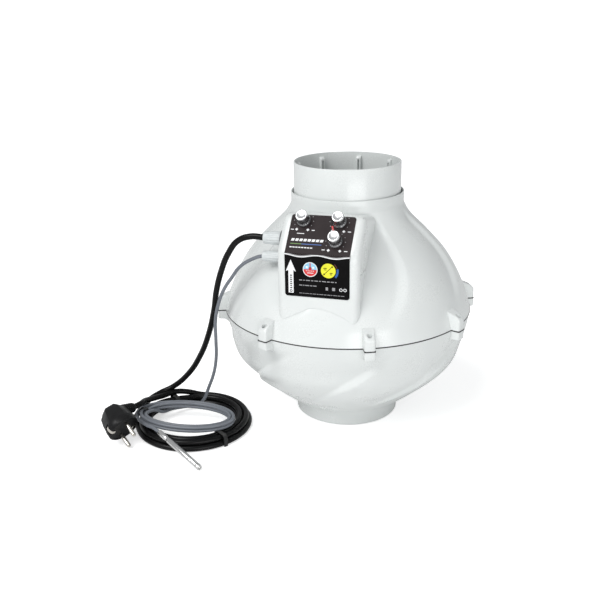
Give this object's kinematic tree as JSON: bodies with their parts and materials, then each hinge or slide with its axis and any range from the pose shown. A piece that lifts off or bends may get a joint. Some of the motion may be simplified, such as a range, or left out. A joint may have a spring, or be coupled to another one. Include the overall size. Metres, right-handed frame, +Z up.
{
  "type": "inline duct fan",
  "caption": "Inline fan for round duct: two-part lobed housing with spigots, motor and impeller, control box with knobs, mains lead with plug and sensor lead.",
  "frame": {"origin": "centre of the inlet spigot's lower face, where the fan stands", "axes": "+Z up along the air flow from inlet to outlet, the control box faces -Y"},
  "size_m": [0.4021, 0.3562, 0.31],
  "materials": {
    "housing_white": "slightly cool white, smooth moulded, soft gloss",
    "seal_black": "matt black gasket",
    "zinc_steel": "zinc plated",
    "hub_plastic": "off-white moulded",
    "motor_metal": "die-cast, satin",
    "bright_steel": "bright nickel or stainless",
    "stator_steel": "laminated sheet",
    "winding_copper": "varnished copper wire",
    "impeller_plastic": "black moulded",
    "gland_plastic": "light grey nylon",
    "gland_seal_grey": "dark grey ring",
    "label_film": "printed film, near black with coloured signs",
    "board_green": "solder resist",
    "capacitor_blue": "moulded case",
    "knob_black": "fluted, satin",
    "knob_silver": "silvered disc",
    "plug_black": "moulded, satin black",
    "mains_black": "smooth black sheath with a soft gloss",
    "sensor_grey": "smooth blue-grey sheath"
  },
  "bodies": {
    "housing": {"lower_housing": "housing_white", "upper_housing": "housing_white", "outlet_spigot": "housing_white", "inlet_nozzle": "housing_white", "control_box_base": "housing_white", "control_box_cover": "housing_white", "housing_seal": "seal_black", "flange_screw_1": "zinc_steel", "flange_screw_2": "zinc_steel", "flange_screw_3": "zinc_steel", "flange_screw_4": "zinc_steel", "flange_screw_5": "zinc_steel", "flange_screw_6": "zinc_steel", "flange_screw_7": "zinc_steel", "flange_screw_8": "zinc_steel", "motor_screw_1": "zinc_steel", "motor_screw_2": "zinc_steel", "motor_screw_3": "zinc_steel", "motor_screw_4": "zinc_steel", "guide_vane_hub": "hub_plastic", "terminal_block": "hub_plastic", "motor_flange": "motor_metal", "bearing_lower": "bright_steel", "bearing_upper": "bright_steel", "sensor_probe": "bright_steel", "plug_pin_1": "bright_steel", "plug_pin_2": "bright_steel", "potentiometer_temperature": "bright_steel", "potentiometer_max_speed": "bright_steel", "potentiometer_min_speed": "bright_steel", "stator_core": "stator_steel", "stator_winding_lower": "winding_copper", "stator_winding_upper": "winding_copper", "mains_gland": "gland_plastic", "sensor_gland": "gland_plastic", "mains_gland_seal": "gland_seal_grey", "sensor_gland_seal": "gland_seal_grey", "front_label": "label_film", "circuit_board": "board_green", "run_capacitor": "capacitor_blue", "mains_plug": "plug_black", "coil_tie_1": "plug_black", "coil_tie_2": "plug_black", "sensor_tie": "plug_black", "mains_cable": "mains_black", "mains_coil": "mains_black", "mains_plug_lead": "mains_black", "motor_lead": "mains_black", "sensor_cable": "sensor_grey", "sensor_coil": "sensor_grey", "sensor_tail": "sensor_grey"},
    "rotor": {"rotor_can": "motor_metal", "motor_shaft": "bright_steel", "impeller": "impeller_plastic"},
    "temperature_knob": {"knob_temperature": "knob_black", "knob_cap_temperature": "knob_silver"},
    "max_speed_knob": {"knob_max_speed": "knob_black", "knob_cap_max_speed": "knob_silver"},
    "min_speed_knob": {"knob_min_speed": "knob_black", "knob_cap_min_speed": "knob_silver"}
  },
  "joints": [
    {"name": "rotor_spin", "type": "hinge", "parent": "housing", "child": "rotor", "pos_m": [0, 0, 0.1], "axis": [0, 0, 1], "continuous": true},
    {"name": "temperature_turn", "type": "hinge", "parent": "housing", "child": "temperature_knob", "pos_m": [-0.021, -0.10865, 0.26275], "axis": [0, -0.7373, 0.6756], "range_deg": [-150, 150]},
    {"name": "max_speed_turn", "type": "hinge", "parent": "housing", "child": "max_speed_knob", "pos_m": [0.018, -0.10831, 0.26312], "axis": [0, -0.7373, 0.6756], "range_deg": [-150, 150]},
    {"name": "min_speed_turn", "type": "hinge", "parent": "housing", "child": "min_speed_knob", "pos_m": [0.0175, -0.12385, 0.24616], "axis": [0, -0.7373, 0.6756], "range_deg": [-150, 150]}
  ]
}
